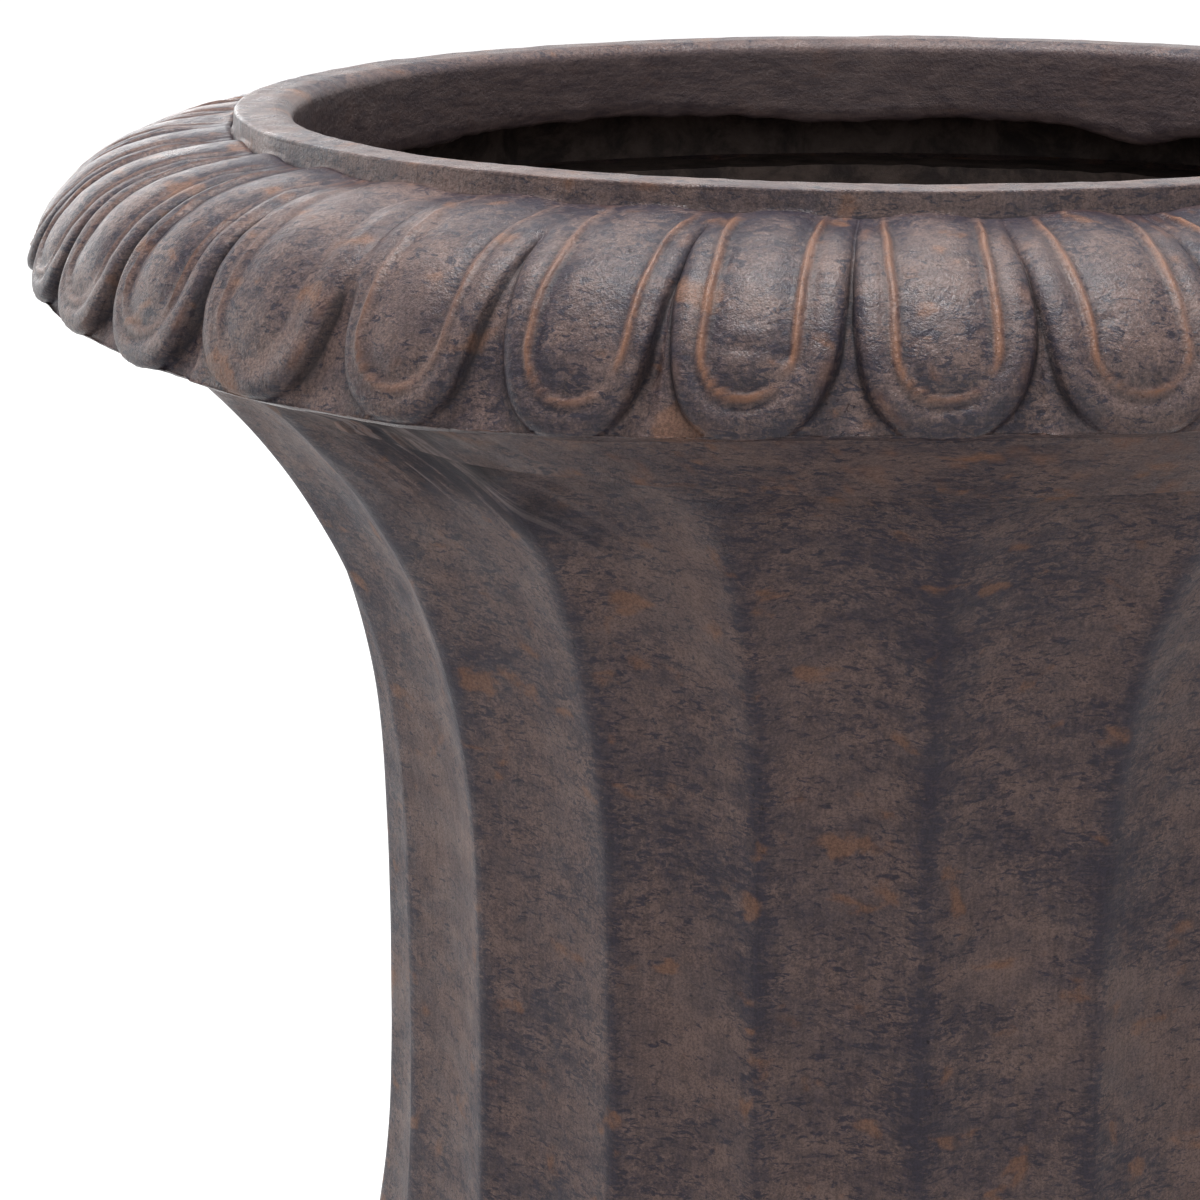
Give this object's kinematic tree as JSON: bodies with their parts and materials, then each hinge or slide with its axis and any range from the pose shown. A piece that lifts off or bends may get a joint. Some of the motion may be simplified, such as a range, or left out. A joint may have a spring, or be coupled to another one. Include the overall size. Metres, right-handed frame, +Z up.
{
  "type": "urn planter",
  "caption": "Campana-shaped urn planter with a gadrooned rim, fluted bell, square-based foot and a pull-out drain plug.",
  "frame": {"origin": "centre of the footprint on the floor, under the rubber pads", "axes": "+Z up along the urn's axis, +X and +Y square to the sides of the plinth; the picture looks along +Y from above the rim"},
  "size_m": [0.5176, 0.5176, 0.6399],
  "materials": {
    "casting": "satin mottled brown-grey patina with rust and slate patches, stone-filled resin casting",
    "bonding_paste": "matt filled bonding paste",
    "rubber": "matt black rubber",
    "zinc_steel": "dull zinc plate",
    "drain_plastic": "satin black moulding"
  },
  "bodies": {
    "urn": {"rim_ring": "casting", "bell_body": "casting", "pedestal_foot": "casting", "rim_bond_bead": "bonding_paste", "joint_gasket": "rubber", "upper_bar_seal": "rubber", "upper_clamp_bar": "zinc_steel", "lower_clamp_bar": "zinc_steel", "flat_washer": "zinc_steel", "spring_washer": "zinc_steel", "tie_bolt": "zinc_steel", "tie_nut": "zinc_steel", "drain_bush": "drain_plastic", "drain_backnut": "drain_plastic", "foot_pad_front_left": "rubber", "foot_pad_front_right": "rubber", "foot_pad_back_right": "rubber", "foot_pad_back_left": "rubber"},
    "plug": {"drain_plug": "rubber"}
  },
  "joints": [
    {"name": "plug_pull", "type": "slide", "parent": "urn", "child": "plug", "axis": [0, 0, 1], "range_m": [0, 0.04]}
  ]
}
